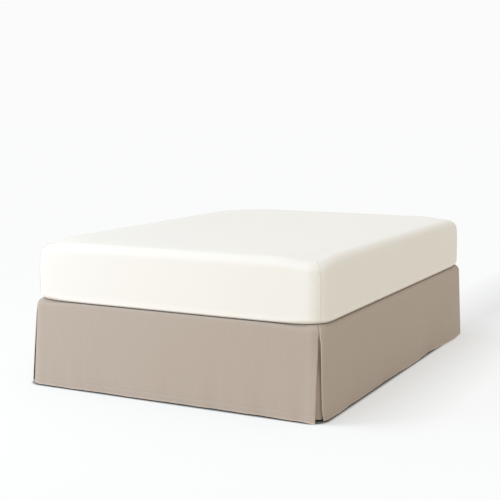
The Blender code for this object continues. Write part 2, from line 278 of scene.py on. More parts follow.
# Finer ripples between the folds, in the same columns
FOOT_RIPPLES = (
    (-0.605, -0.0009, 0.022, 0.15),
    (-0.575, 0.0008, 0.020, 0.30),
    (-0.385, 0.0009, 0.026, 0.50),
    (-0.242, -0.0008, 0.024, 0.40),
    (-0.110, 0.0007, 0.028, 0.55),
    (0.085, -0.0009, 0.024, 0.45),
    (0.190, 0.0008, 0.018, 0.35),
    (0.298, -0.0009, 0.026, 0.30),
    (0.405, 0.0008, 0.018, 0.50),
    (0.490, -0.0010, 0.024, 0.20),
    (0.598, -0.0011, 0.022, 0.30),
)
RIGHT_RIPPLES = (
    (-0.800, 0.0008, 0.030, 0.45),
    (-0.690, -0.0009, 0.034, 0.30),
    (-0.450, -0.0008, 0.036, 0.50),
    (-0.200, 0.0007, 0.030, 0.55),
    (-0.060, -0.0009, 0.040, 0.35),
    (0.090, 0.0008, 0.030, 0.50),
    (0.300, 0.0012, 0.036, 0.20),
    (0.510, 0.0010, 0.034, 0.25),
    (0.780, -0.0010, 0.040, 0.30),
)
LEFT_RIPPLES = (
    (-0.780, -0.0009, 0.032, 0.40),
    (-0.320, 0.0008, 0.034, 0.45),
    (0.170, -0.0009, 0.036, 0.40),
    (0.640, 0.0009, 0.034, 0.35),
)

# Base and its feet
BASE_WIDTH = 1.352
BASE_LENGTH = 1.884
BASE_CORNER = 0.075
BASE_TOP_EDGE = 0.022
BASE_BOTTOM_EDGE = 0.011
FOOT_HEIGHT = 0.045
FOOT_RADIUS = 0.030
FOOT_SIDES = 48
FOOT_RIM = 0.002
FOOT_RIM_FACETS = 3
# Heights closer than this are level with each other
SAME_LEVEL = 0.00001

HALF_WIDTH = SKIRT_WIDTH / 2
HALF_LENGTH = SKIRT_LENGTH / 2
FOOT_STRAIGHT = HALF_WIDTH - SKIRT_CORNER
SIDE_STRAIGHT = HALF_LENGTH - SKIRT_CORNER
DROP = DECK_TOP - SHOULDER - HEM
LOW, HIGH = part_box("mattress")
BED = Vector(((LOW.x + HIGH.x) / 2, (LOW.y + HIGH.y) / 2, 0.0))

# Camera, found by fitting the bed's edges to the photo
CAMERA_PLACE = (2.1750, -4.4748, 1.1595)
CAMERA_AZIMUTH = radians(26.970)
CAMERA_DOWN = radians(7.3014)
CAMERA_LENS = 74.30
CAMERA_SEES_BY = 500.0

# The lights: where each shines from, what the lamp is aimed at, and how far round the sky each of the two
# broad ones spreads
HIGH_LIGHT_FROM = (-3.0, -2.0, 6.0)
FRONT_LIGHT_FROM = (-1.5, -6.0, 2.5)
LIGHT_SPREAD = radians(40)
LAMP_FROM = (-2.2, -2.6, 1.3)
LAMP_AIM = (-0.6, -0.9, 0.4)

# The room and its floor. The floor glows with painted light, which comes up over a rim just outside the
# hems and
# leaves a painted shadow under the bed: where the rim starts and how wide it is. In the bed's lee, on the
# right, the painted light is less by a share, a painted shadow, that fades with the distance, and with the
# turn round the near corner, measured as the way back over the way out, which is at least a little way.
ROOM_COLOUR = "#FBFBFB"
FLOOR_COLOUR = "#87857F"
FLOOR_SIZE = 150.0
FLOOR_PAINTED_LIGHT = 0.69
HEMS_MIDDLE = Vector((-0.009, -0.009, 0.0))
HEMS_STRAIGHT = (HALF_WIDTH - 0.061, HALF_LENGTH - 0.063, 0.0)
HEMS_CORNER = 0.072
RIM_START = -0.002
RIM_WIDTH = 0.020
LEE_PAINTED_SHADOW = 0.22
LEE_WIDTH = 0.400
LEE_TURN = (-0.3, 1.0)
LEE_LEAST_OUT = 0.01


def ease(share):
    share = min(max(share, 0.0), 1.0)
    return share * share * (3 - 2 * share)


def read_table(table, place):
    """Reads a (place, value) table, easing from each row to the next."""
    if place <= table[0][0]:
        return table[0][1]
    for (start, low), (end, high) in zip(table, table[1:]):
        if place <= end:
            return low + (high - low) * ease((place - start) / (end - start))
    return table[-1][1]


def fold_depth(folds, place, share):
    """Adds up the soft folds at one place along the drop and one share of the way down."""
    total = 0.0
    for middle, depth, half_width, start in folds:
        near = 1 - abs(place - middle) / half_width
        total += depth * ease(near) * ease((share - start) / (1 - start))
    return total


def steps(start, end, longest):
    """Evenly spaced numbers from start to end, no further apart than longest."""
    count = max(1, round(abs(end - start) / longest + 0.5))
    return [start + (end - start) * i / count for i in range(count + 1)]


# Colours and materials


def linear(colour):
    """Turns an sRGB hex colour to the linear one that shaders take."""
    shares = [int(colour[i : i + 2], 16) / 255 for i in (1, 3, 5)]
    return [s / 12.92 if s <= 0.04045 else ((s + 0.055) / 1.055) ** 2.4 for s in shares] + [1.0]


def add_node(tree, kind, inputs=None, **settings):
    """Adds a node. An input is a value, or the output of another node that is linked to it."""
    made = tree.nodes.new(kind)
    for name, value in settings.items():
        setattr(made, name, value)
    for name, value in (inputs or {}).items():
        if isinstance(value, bpy.types.NodeSocket):
            tree.links.new(value, made.inputs[name])
        else:
            made.inputs[name].default_value = value
    return made


def new_material(name, roughness, sheen=0.0):
    made = bpy.data.materials.new(name)
    made.use_nodes = True
    shader = made.node_tree.nodes["Principled BSDF"]
    shader.inputs["Roughness"].default_value = roughness
    shader.inputs["Sheen Weight"].default_value = sheen
    return made, made.node_tree, shader


def ribs(spacing):
    """The scale at which a Wave texture's bands lie this far apart."""
    return 2 * pi / 20 / spacing


def tinted(tree, colour, pattern, spread, paler=None):
    """The colour, lighter and darker by the spread as the pattern goes, and moved by painted light and
    shade.
    """
    value = add_node(
        tree,
        "ShaderNodeMapRange",
        {"Value": pattern, "To Min": 1 - spread, "To Max": 1 + spread},
    ).outputs["Result"]
    if paler:
        value = add_node(tree, "ShaderNodeMath", {0: value, 1: paler}, operation="ADD").outputs["Value"]
    tint = add_node(tree, "ShaderNodeHueSaturation", {"Value": value, "Color": linear(colour)})
    return tint.outputs["Color"]


def cotton_twill():
    """Taupe cotton twill, piece-dyed and pressed.

    To the eye it is matt and even, with fine diagonal ribs close up, slightly thicker yarns here and
    there that read as faint upright streaks, and a soft bloom at grazing angles. Its colour also carries
    painted highlights along the folded edges and hem, painted shade in the groove under the mattress,
    and painted light and shade down the underlays.
    """
    finish, tree, shader = new_material("taupe_cotton_twill", roughness=0.92, sheen=0.05)
    coords = add_node(tree, "ShaderNodeTexCoord").outputs["UV"]
    # The ribs are drawn 2.6 mm apart, three times the real spacing, so that they show close up
    turned = add_node(
        tree,
        "ShaderNodeMapping",
        {"Vector": coords, "Rotation": (0.0, 0.0, radians(63))},
    )
    rib = add_node(
        tree,
        "ShaderNodeTexWave",
        {"Vector": turned.outputs["Vector"], "Scale": ribs(0.0026), "Distortion": 0.6, "Detail": 1.0},
    )
    # Yarns vary over 9 mm across and 120 mm along
    stretched = add_node(
        tree,
        "ShaderNodeMapping",
        {"Vector": coords, "Scale": (1 / 0.009, 1 / 0.120, 1.0)},
    )
    yarn = add_node(
        tree,
        "ShaderNodeTexNoise",
        {"Vector": stretched.outputs["Vector"], "Scale": 1.0, "Detail": 3.0, "Roughness": 0.55},
    )
    # The shade attribute holds painted light and shade
    shade = add_node(tree, "ShaderNodeAttribute", attribute_name="shade")
    tint = tinted(tree, "#A39382", yarn.outputs["Fac"], spread=0.035, paler=shade.outputs["Fac"])
    tree.links.new(tint, shader.inputs["Base Color"])
    rib_bump = add_node(
        tree,
        "ShaderNodeBump",
        {"Height": rib.outputs["Fac"], "Strength": 0.5, "Distance": 0.0003},
    )
    yarn_bump = add_node(
        tree,
        "ShaderNodeBump",
        {
            "Height": yarn.outputs["Fac"],
            "Strength": 0.4,
            "Distance": 0.0004,
            "Normal": rib_bump.outputs["Normal"],
        },
    )
    tree.links.new(yarn_bump.outputs["Normal"], shader.inputs["Normal"])
    return finish


def cotton_percale():
    """Ivory cotton percale over wadding, stretched smooth.

    To the eye it is a close, matt, warm white with hardly any texture, only a fine grain close up and a
    very slow change of tone where the wadding is fuller. Low down it carries painted light, with painted
    shade at the very bottom where it turns under.
    """
    finish, tree, shader = new_material("ivory_cotton_percale", roughness=0.80, sheen=0.05)
    coords = add_node(tree, "ShaderNodeTexCoord").outputs["Object"]
    # Plain weave grain, drawn at 2 mm because the real 0.3 mm would not show
    grain = add_node(
        tree,
        "ShaderNodeTexNoise",
        {"Vector": coords, "Scale": 1 / 0.002, "Detail": 2.0, "Roughness": 0.6},
    )
    fullness = add_node(
        tree,
        "ShaderNodeTexNoise",
        {"Vector": coords, "Scale": 1 / 0.30, "Detail": 1.0, "Roughness": 0.4},
    )
    # The shade attribute holds painted light and shade
    shade = add_node(tree, "ShaderNodeAttribute", attribute_name="shade")
    tint = tinted(tree, "#D8D0C2", fullness.outputs["Fac"], spread=0.012, paler=shade.outputs["Fac"])
    tree.links.new(tint, shader.inputs["Base Color"])
    bump = add_node(
        tree,
        "ShaderNodeBump",
        {"Height": grain.outputs["Fac"], "Strength": 0.25, "Distance": 0.0002},
    )
    tree.links.new(bump.outputs["Normal"], shader.inputs["Normal"])
    return finish


def base_canvas():
    """Grey-beige cotton canvas pulled over the wooden base.

    To the eye it is matt and slightly coarse, with a square plain weave and darker specks.
    """
    finish, tree, shader = new_material("grey_beige_canvas", roughness=0.95)
    coords = add_node(tree, "ShaderNodeTexCoord").outputs["Object"]
    # Threads 2.5 mm apart, drawn at twice the real spacing, up and across
    upright = add_node(
        tree,
        "ShaderNodeTexWave",
        {"Vector": coords, "Scale": ribs(0.0025), "Distortion": 1.0, "Detail": 1.0},
        bands_direction="X",
    )
    across = add_node(
        tree,
        "ShaderNodeTexWave",
        {"Vector": coords, "Scale": ribs(0.0025), "Distortion": 1.0, "Detail": 1.0},
        bands_direction="Z",
    )
    weave = add_node(
        tree,
        "ShaderNodeMath",
        {0: upright.outputs["Fac"], 1: across.outputs["Fac"]},
        operation="MULTIPLY",
    )
    speck = add_node(
        tree,
        "ShaderNodeTexNoise",
        {"Vector": coords, "Scale": 1 / 0.012, "Detail": 3.0, "Roughness": 0.6},
    )
    tint = tinted(tree, "#B3AFA9", speck.outputs["Fac"], spread=0.06)
    tree.links.new(tint, shader.inputs["Base Color"])
    bump = add_node(
        tree,
        "ShaderNodeBump",
        {"Height": weave.outputs["Value"], "Strength": 0.6, "Distance": 0.0004},
    )
    tree.links.new(bump.outputs["Normal"], shader.inputs["Normal"])
    return finish


def moulded_polypropylene():
    """Black moulded polypropylene of the feet.

    To the eye it is a dull black with a fine spark-eroded grain, scuffed paler here and there.
    """
    finish, tree, shader = new_material("black_polypropylene", roughness=0.5)
    coords = add_node(tree, "ShaderNodeTexCoord").outputs["Object"]
    # Mould grain of about 1 mm
    grain = add_node(
        tree,
        "ShaderNodeTexNoise",
        {"Vector": coords, "Scale": 1 / 0.001, "Detail": 2.0, "Roughness": 0.5},
    )
    scuff = add_node(
        tree,
        "ShaderNodeTexNoise",
        {"Vector": coords, "Scale": 1 / 0.015, "Detail": 4.0, "Roughness": 0.7},
    )
    tint = tinted(tree, "#2B2B2B", scuff.outputs["Fac"], spread=0.25)
    tree.links.new(tint, shader.inputs["Base Color"])
    bump = add_node(
        tree,
        "ShaderNodeBump",
        {"Height": grain.outputs["Fac"], "Strength": 0.3, "Distance": 0.0001},
    )
    tree.links.new(bump.outputs["Normal"], shader.inputs["Normal"])
    return finish


# Camera, light and floor


def set_camera():
    lens = bpy.data.cameras.new("photo_camera")
    lens.lens = CAMERA_LENS
    lens.clip_end = CAMERA_SEES_BY
    camera = bpy.data.objects.new("photo_camera", lens)
    camera.location = CAMERA_PLACE
    camera.rotation_euler = (pi / 2 - CAMERA_DOWN, 0.0, CAMERA_AZIMUTH)
    bpy.context.scene.collection.objects.link(camera)
    bpy.context.scene.camera = camera


def add_light(name, kind, place, aim, **settings):
    data = bpy.data.lights.new(name, kind)
    for key, value in settings.items():
        setattr(data, key, value)
    light = bpy.data.objects.new(name, data)
    light.location = place
    direction = Vector(aim) - Vector(place)
    light.rotation_euler = direction.to_track_quat("-Z", "Y").to_euler()
    bpy.context.scene.collection.objects.link(light)


def light_studio():
    """A white room with a broad soft light high on the left, a lower one in front, and a small lamp."""
    world = bpy.data.worlds.new("white_room")
    world.use_nodes = True
    background = world.node_tree.nodes["Background"]
    background.inputs["Color"].default_value = linear(ROOM_COLOUR)
    background.inputs["Strength"].default_value = 1.0
    bpy.context.scene.world = world
    add_light(
        "high_light",
        "SUN",
        HIGH_LIGHT_FROM,
        (0.0, 0.0, 0.0),
        energy=1.21,
        color=(0.49, 0.71, 1.00),
        angle=LIGHT_SPREAD,
    )
    add_light(
        "front_light",
        "SUN",
        FRONT_LIGHT_FROM,
        (0.0, 0.0, 0.0),
        energy=0.84,
        color=(0.77, 0.87, 1.00),
        angle=LIGHT_SPREAD,
    )
    add_light(
        "near_foot_lamp",
        "AREA",
        LAMP_FROM,
        LAMP_AIM,
        energy=33.20,
        color=(0.63, 0.72, 1.00),
        size=1.2,
    )
    bpy.context.scene.view_settings.view_transform = "Standard"


def lay_floor():
    """A pale paper floor that glows with painted light, leaving painted shadow under the bed and in its
    lee.
    """
    bm = bmesh.new()
    bmesh.ops.create_grid(bm, x_segments=1, y_segments=1, size=FLOOR_SIZE)
    finish, tree, shader = new_material("paper_floor_painted_light", roughness=0.9)
    shader.inputs["Base Color"].default_value = linear(FLOOR_COLOUR)
    shader.inputs["Emission Color"].default_value = linear(ROOM_COLOUR)
    shader.inputs["Specular IOR Level"].default_value = 0.0

    def vector(operation, first, *others):
        inputs = dict(enumerate((first, *others)))
        return add_node(tree, "ShaderNodeVectorMath", inputs, operation=operation).outputs

    def number(operation, first, *others):
        inputs = dict(enumerate((first, *others)))
        return add_node(tree, "ShaderNodeMath", inputs, operation=operation).outputs["Value"]

    def ramp(value, low, high, way="SMOOTHSTEP"):
        inputs = {"Value": value, "From Min": low, "From Max": high}
        return add_node(tree, "ShaderNodeMapRange", inputs, interpolation_type=way).outputs["Result"]

    coords = add_node(tree, "ShaderNodeTexCoord").outputs["Object"]
    beside = vector("SUBTRACT", coords, BED + HEMS_MIDDLE)["Vector"]
    beside = vector("ABSOLUTE", beside)["Vector"]
    beside = vector("SUBTRACT", beside, HEMS_STRAIGHT)["Vector"]
    beside = vector("MAXIMUM", beside, (0.0, 0.0, 0.0))["Vector"]
    outside = vector("LENGTH", beside)["Value"]
    # Painted light from the floor's emission, held off under the bed as a painted shadow
    painted_light_mask = ramp(outside, HEMS_CORNER + RIM_START, HEMS_CORNER + RIM_START + RIM_WIDTH)

    spot = add_node(tree, "ShaderNodeSeparateXYZ", {"Vector": coords}).outputs
    # A painted shadow in the bed's lee on the right, fading with the distance and the turn round the near
    # corner
    out = number("SUBTRACT", spot["X"], HALF_WIDTH)
    back = number("ADD", spot["Y"], HALF_LENGTH)
    turned = ramp(number("DIVIDE", back, number("MAXIMUM", out, LEE_LEAST_OUT)), *LEE_TURN)
    near = ramp(number("ABSOLUTE", out), LEE_WIDTH, 0.0, way="LINEAR")
    painted_lee_shadow = number("MULTIPLY", number("MULTIPLY", turned, near), LEE_PAINTED_SHADOW)
    glow = number("MULTIPLY", number("MULTIPLY", painted_light_mask, number("SUBTRACT", 1.0, painted_lee_shadow)), FLOOR_PAINTED_LIGHT)
    tree.links.new(glow, shader.inputs["Emission Strength"])
    add_object(bm, "floor", finish)


# Pieces


def add_object(bm, name, finish):
    mesh = bpy.data.meshes.new(name)
    bm.to_mesh(mesh)
    bm.free()
    mesh.materials.append(finish)
    mesh.shade_smooth()
    made = bpy.data.objects.new(name, mesh)
    bpy.context.scene.collection.objects.link(made)
    return made


def apply_modifiers(thing):
    """Bakes a piece's modifiers into its mesh, and keeps its real edges crisp."""
    bpy.context.view_layer.update()
    graph = bpy.context.evaluated_depsgraph_get()
    mesh = bpy.data.meshes.new_from_object(thing.evaluated_get(graph))
    thing.modifiers.clear()
    thing.data = mesh
    mesh.shade_smooth()
    mesh.set_sharp_from_angle(angle=CRISP_ANGLE)
    return thing


def thicken(thing):
    """Gives an open sheet its cloth thickness on the inner side, and rounds its cut edges."""
    solid = thing.modifiers.new("cloth", "SOLIDIFY")
    solid.thickness = CLOTH
    solid.offset = -1.0
    solid.use_even_offset = True
    rim = thing.modifiers.new("soft_rim", "BEVEL")
    rim.width = CUT_RIM
    rim.segments = 2
    rim.limit_method = "ANGLE"
    rim.angle_limit = CUT_RIM_ANGLE
    return apply_modifiers(thing)


def ride(piece, slot, *nodes):
    """Fixes a piece to the bed, in the place of the plain solids that it stands for."""
    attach(piece, "root")
    if nodes:
        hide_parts(*nodes)
    return piece


def corner_lift(x, y):
    """How far the platform sheet has lifted at a spot, which it does near the corners."""
    away = hypot(HALF_WIDTH - abs(x), HALF_LENGTH - abs(y))
    return CORNER_LIFT * ease(1 - away / LIFT_REACH)


def plan_point(place, out, straight, reach):
    """A point of the rounded outline: its coordinate along the edge and its distance from the middle.

    The place runs along the outer face, past the straight part and on round the corner arcs.
    """
    past = abs(place) - straight
    if past <= 0:
        return place, reach + out
    angle = past / SKIRT_CORNER
    side = 1 if place > 0 else -1
    radius = SKIRT_CORNER + out
    return side * (straight + radius * sin(angle)), reach - SKIRT_CORNER + radius * cos(angle)


def with_lengths(line):
    """Rows of a sheet from (out, height, share), each with its distance down the cloth."""
    rows, down, last = [], 0.0, line[0]
    for out, height, share in line:
        down += hypot(out - last[0], height - last[1])
        rows.append(Row(out, height, share, down))
        last = (out, height)
    return rows


def drop_shares():
    """Shares of the way down a drop: even rows, with more of them along the hem."""
    near_hem = [HEM_HEIGHT + d * HEM_TROUGH_REACH for d in (1.0, 0.5, 0.0, -0.5, -1.0)]
    extra = [1 - height / DROP for height in [*near_hem, *HEM_ROWS]]
    even = steps(SPLIT_TOP, 1.0, (1 - SPLIT_TOP) / CLOTH_ROWS)
    kept = [s for s in even if all(abs(s - e) * DROP > ROW_CLEAR for e in extra)]
    return sorted({*kept, *extra, 1.0})


def section_rows():
    """Rows of a drop from its seam, over the shoulder and down to its hem."""
    line = [(-SEAM_INSET, DECK_TOP, 0.0)]
    for angle in steps(0.0, pi / 2, pi / 2 / SHOULDER_STEPS):
        line.append((SHOULDER * (sin(angle) - 1), DECK_TOP - SHOULDER * (1 - cos(angle)), 0.0))
    for share in drop_shares():
        line.append((0.0, DECK_TOP - SHOULDER - DROP * share, share))
    return with_lengths(line)


def inside_mattress(spot):
    """How far a spot lies inside the upright faces of the mattress."""
    past_x = abs(spot.x) - MATTRESS_WIDTH / 2 + MATTRESS_CORNER
    past_y = abs(spot.y) - MATTRESS_LENGTH / 2 + MATTRESS_CORNER
    past = hypot(past_x, past_y) if min(past_x, past_y) > 0 else max(past_x, past_y)
    return MATTRESS_CORNER - past


def cloth_sheet(name, places, rows, point, finish, shades, reverse=False):
    """A sheet laid out flat as columns and rows, keeping that as its UV map, then hung in place.

    Its shades are a table of painted light and shade down the cloth, the painted highlight on its folded
    edges, and the painted shade in its groove.
    """
    tones, at_edges, (darker, begins, is_full) = shades
    bm = bmesh.new()
    columns, lines = len(places) - 1, len(rows) - 1
    bmesh.ops.create_grid(bm, x_segments=columns, y_segments=lines, size=1.0)
    flat = bm.loops.layers.uv.new("flat_cloth")
    shade = bm.verts.layers.float.new("shade")
    spots = {}
    for vert in bm.verts:
        column = round((vert.co.x + 1) / 2 * columns)
        line = round((1 - vert.co.y) / 2 * lines)
        spots[vert] = (places[column], rows[line])
    for face in bm.faces:
        for loop in face.loops:
            place, row = spots[loop.vert]
            loop[flat].uv = (place, -row.down)
    for vert, (place, row) in spots.items():
        spot = Vector(point(place, row))
        vert.co = spot + BED
        from_end = min(place - places[0], places[-1] - place)
        # Painted highlight along the edges at the splits and along the hem, over painted tones down the
        # cloth
        edge = at_edges * ease(1 - from_end / HIGHLIGHT_REACH)
        hem = HEM_PAINTED_HIGHLIGHT * ease(1 - (rows[-1].down - row.down) / HIGHLIGHT_REACH)
        vert[shade] = read_table(tones, row.share) + max(edge, hem)
        # Painted shade in the groove under the mattress, fading before the ends of a drop
        if row.share == 0:
            groove = darker * ease((inside_mattress(spot) - begins) / (is_full - begins))
            vert[shade] -= groove * ease(from_end / GROOVE_SHADE_FADE)
    if reverse:
        bmesh.ops.reverse_faces(bm, faces=bm.faces)
    return thicken(add_object(bm, name, finish))


def hem_relief(from_edge, row):
    """How far the outer face lies in along the stitched top of a hem, and rolls in at a split's edge."""
    above = (1 - row.share) * DROP
    depth = HEM_TROUGH * ease(1 - abs(above - HEM_HEIGHT) / HEM_TROUGH_REACH)
    depth += HEM_TROUGH * ease(1 - abs(from_edge - EDGE_HEM) / HEM_TROUGH_REACH)
    roll = ease(1 - from_edge / (2 * EDGE_ROLL)) * EDGE_ROLL
    return -(depth + roll) * ease(row.share / RELIEF_BY)


def round_corner(straight, turn):
    """The place where a drop ends that turns this far round a corner, a little short of the split."""
    return straight + SKIRT_CORNER * turn - SPLIT_SHORT


def turned_places(straight, end):
    """Places from the end of the straight part, on round the corner, to the edge."""
    extra = [end - inwards for inwards in EDGE_COLUMNS]
    even = steps(straight, end, SKIRT_CORNER * TURN_STEP)[1:]
    return sorted([p for p in even if p < min(extra) - COLUMN_CLEAR] + extra)


FOOT_END = round_corner(FOOT_STRAIGHT, FOOT_TURN)
FRONT_END = round_corner(SIDE_STRAIGHT, SIDE_TURN)
HEAD_END = round_corner(SIDE_STRAIGHT, HEAD_TURN)


def lifted(row, spot):
    """The height of a drop's row, with the lift that it takes from the corner of the sheet."""
    return row.height + corner_lift(*spot) * (1 - ease(row.share / LIFT_BY))


def shoulder(place, row, straight, full):
    """A drop's row at one place, where the shoulder is squarer the further it is from an end."""
    if row.share > 0 or row.out <= -SHOULDER:
        return row
    power = 2 + (full - 2) * ease((straight - abs(place)) / SQUARE_REACH)
    across = max(1 + row.out / SHOULDER, 0.0) ** (2 / power)
    up = max(1 - (DECK_TOP - row.height) / SHOULDER, 0.0) ** (2 / power)
    return row._replace(out=SHOULDER * (across - 1), height=DECK_TOP - SHOULDER * (1 - up))


def foot_point(place, row):
    """The foot drop. Below the split its right end lies flat, and its left end stays curled."""
    row = shoulder(place, row, FOOT_STRAIGHT, FOOT_POWER)
    height = lifted(row, plan_point(place, row.out, FOOT_STRAIGHT, HALF_LENGTH))
    swing = read_table(FOOT_HEM, place) + fold_depth(FOOT_FOLDS + FOOT_RIPPLES, place, row.share)
    out = row.out + swing * row.share**FOOT_SWING + hem_relief(FOOT_END - abs(place), row)
    near = ease(1 - (place + FOOT_END) / SETBACK_REACH)
    place -= FOOT_LEAN * read_table(SPLIT_OPEN, row.share) * near
    pressed = ease(row.share / PRESSED_FROM) * ease((PRESSED_BY - row.share) / PRESSED_BY)
    place -= PRESSED_BACK * pressed * ease(1 - (FOOT_END - place) / PRESSED_REACH)
    x, y = plan_point(place, out, FOOT_STRAIGHT, HALF_LENGTH)
    if place > FOOT_STRAIGHT:
        flat = ease(row.share / FLAT_BY) * FLAT
        x += (place - x) * flat
        y += (HALF_LENGTH + out - y) * flat
    return x, -y, height


def side_point(side, setback, hem, folds, swing):
    """Returns the surface of a side drop. Its front edge draws back from the split towards the hem."""

    def point(place, row):
        row = shoulder(place, row, SIDE_STRAIGHT, SIDE_POWER)
        y, x = plan_point(place, row.out, SIDE_STRAIGHT, HALF_WIDTH)
        height = lifted(row, (x, y))
        relief = hem_relief(min(place + FRONT_END, HEAD_END - place), row)
        near = ease(1 - (place + FRONT_END) / SETBACK_REACH)
        place += setback * read_table(SPLIT_OPEN, row.share) * near
        out = read_table(hem, place) + fold_depth(folds, place, row.share)
        out = row.out + out * row.share**swing + relief
        y, x = plan_point(place, out, SIDE_STRAIGHT, HALF_WIDTH)
        return side * x, y, height

    return point


def foot_drop(finish):
    turned = turned_places(FOOT_STRAIGHT, FOOT_END)
    straight = steps(-FOOT_STRAIGHT, FOOT_STRAIGHT, CLOTH_COLUMN)
    places = [-p for p in reversed(turned)] + straight + turned
    shades = (DROP_PAINTED_LIGHT_AND_SHADE, FOOT_EDGE_PAINTED_HIGHLIGHT, FOOT_GROOVE_PAINTED_SHADE)
    made = cloth_sheet("foot_drop", places, section_rows(), foot_point, finish, shades)
    return ride(made, "valance_cloth", "foot_panel")


def side_drop(name, side, point, node, finish):
    turned = turned_places(SIDE_STRAIGHT, FRONT_END)
    straight = steps(-SIDE_STRAIGHT, SIDE_STRAIGHT, CLOTH_COLUMN)
    places = [-p for p in reversed(turned)] + straight + turned_places(SIDE_STRAIGHT, HEAD_END)
    shades = (DROP_PAINTED_LIGHT_AND_SHADE, SIDE_EDGE_PAINTED_HIGHLIGHT, SIDE_GROOVE_PAINTED_SHADE)
    made = cloth_sheet(name, places, section_rows(), point, finish, shades, reverse=side < 0)
    return ride(made, "valance_cloth", node)


def corner_underlay(name, side, node, finish):
    """A narrow panel behind a split, caught under the shoulder of both drops and hanging clear of them."""
    inner = -(CLOTH + GAP)
    radius = SHOULDER - CLOTH - GAP
    top = DECK_TOP - SHOULDER
    line = []
    for angle in steps(UNDERLAY_START, pi / 2, UNDERLAY_CURVE_STEP):
        line.append((inner - radius * (1 - sin(angle)), top + radius * cos(angle), 0.0))
    for share in drop_shares():
        out = inner - UNDERLAY_SETBACK * ease(share / UNDERLAY_SETBACK_BY)
        line.append((out, top - (top - UNDERLAY_HEM) * share, share))
    quarter = SKIRT_CORNER * pi / 2
    places = steps(-UNDERLAY_WING, 0.0, UNDERLAY_COLUMN)[:-1]
    places += steps(0.0, quarter, SKIRT_CORNER * TURN_STEP)
    places += steps(quarter, quarter + UNDERLAY_WING, UNDERLAY_COLUMN)[1:]

    def point(place, row):
        angle = min(max(place / SKIRT_CORNER, 0.0), pi / 2)
        x = FOOT_STRAIGHT + (SKIRT_CORNER + row.out) * sin(angle) + min(place, 0.0)
        y = -SIDE_STRAIGHT - (SKIRT_CORNER + row.out) * cos(angle) + max(place - quarter, 0.0)
        return side * x, y, lifted(row, (x, y))

    shades = (UNDERLAY_PAINTED_LIGHT_AND_SHADE, 0.0, NO_GROOVE_PAINTED_SHADE)
    made = cloth_sheet(name, places, with_lengths(line), point, finish, shades, reverse=side < 0)
    return ride(made, "valance_cloth", node)


def rounded_plan(width, length, corner, segments):
    """A flat face with rounded corners, in the plan of the bed."""
    bm = bmesh.new()
    bmesh.ops.create_grid(bm, x_segments=1, y_segments=1, size=1.0)
    for vert in bm.verts:
        vert.co.x *= width / 2
        vert.co.y *= length / 2
    bmesh.ops.bevel(
        bm,
        geom=list(bm.verts),
        offset=corner,
        offset_type="OFFSET",
        segments=segments,
        profile=0.5,
        affect="VERTICES",
        material=-1,
    )
    return bm


def platform_sheet(finish):
    """The sheet between mattress and base, which the drops are sewn to all round but at the head."""
    inset = SEAM_INSET + GAP
    width, length = SKIRT_WIDTH - 2 * inset, SKIRT_LENGTH - 2 * inset
    bm = rounded_plan(width, length, SKIRT_CORNER - inset, DECK_CORNER_FACETS)
    cut_patches(bm, (HALF_WIDTH, HALF_LENGTH))
    flat = bm.loops.layers.uv.new("flat_cloth")
    for face in bm.faces:
        for loop in face.loops:
            loop[flat].uv = loop.vert.co.xy
    for vert in bm.verts:
        vert.co.z = DECK_TOP + corner_lift(vert.co.x, vert.co.y)
    bmesh.ops.translate(bm, vec=BED, verts=bm.verts)
    return ride(thicken(add_object(bm, "platform_sheet", finish)), "valance_cloth", "deck")


def bevel_edges(bm, edges, radius, segments):
    bmesh.ops.bevel(
        bm,
        geom=edges,
        offset=radius,
        offset_type="OFFSET",
        segments=segments,
        profile=0.5,
        affect="EDGES",
        material=-1,
    )


def rounded_block(width, length, bottom, top, corner, top_edge, bottom_edge):
    """A box with rounded upright corners, then rounded rims."""
    bm = bmesh.new()
    bmesh.ops.create_cube(bm, size=1.0)
    for vert in bm.verts:
        vert.co.x *= width
        vert.co.y *= length
        vert.co.z = top if vert.co.z > 0 else bottom
    upright = [e for e in bm.edges if abs(e.verts[0].co.z - e.verts[1].co.z) > SAME_LEVEL]
    bevel_edges(bm, upright, corner, BLOCK_FACETS + MORE_CORNER_FACETS)
    for level, radius in ((top, top_edge), (bottom, bottom_edge)):
        rim = [e for e in bm.edges if all(abs(v.co.z - level) < SAME_LEVEL for v in e.verts)]
        bevel_edges(bm, rim, radius, BLOCK_FACETS)
    return bm


def cut_patches(bm, halves):
    """Cuts flats across into patches, on both sides of the middle in X and Y."""
    for axis, half in enumerate(halves):
        normal = Vector((0, 0, 0))
        normal[axis] = 1.0
        for level in steps(-half, half, COVER_PATCH)[1:-1]:
            cut(bm, normal * level, normal)


def cut(bm, spot, normal):
    whole = [*bm.verts, *bm.edges, *bm.faces]
    bmesh.ops.bisect_plane(bm, geom=whole, plane_co=spot, plane_no=normal)


def soften(spot):
    """Shapes the mattress near its corners: a crease at the seam, a sunken top, a lifted underside."""
    side = Vector((1 if spot.x > 0 else -1, 1 if spot.y > 0 else -1))
    away = Vector((MATTRESS_WIDTH / 2 - abs(spot.x), MATTRESS_LENGTH / 2 - abs(spot.y)))
    middle = (DECK_TOP + MATTRESS_TOP) / 2
    high = (spot.z - middle) / (MATTRESS_TOP - middle)
    round_x, round_y = MATTRESS_CORNER - away.x, MATTRESS_CORNER - away.y
    if round_x > 0 and round_y > 0:
        turn = atan2(round_y, round_x)
        crease = SEAM_CREASE * max(0.0, 1 - abs(turn - pi / 4) / SEAM_SPREAD) * (1 - high * high)
        spot.x += side.x * crease * cos(turn)
        spot.y += side.y * crease * sin(turn)
    spot.z += corner_lift(spot.x, spot.y) * MATTRESS_LIFT_MORE * ease(-high)
    soft = ease(high) * ease(1 - away.length / MATTRESS_SOFT)
    spot.z -= MATTRESS_SINK * soft
    spot.x -= MATTRESS_DRAW_IN * soft * side.x
    spot.y -= MATTRESS_DRAW_IN * soft * side.y


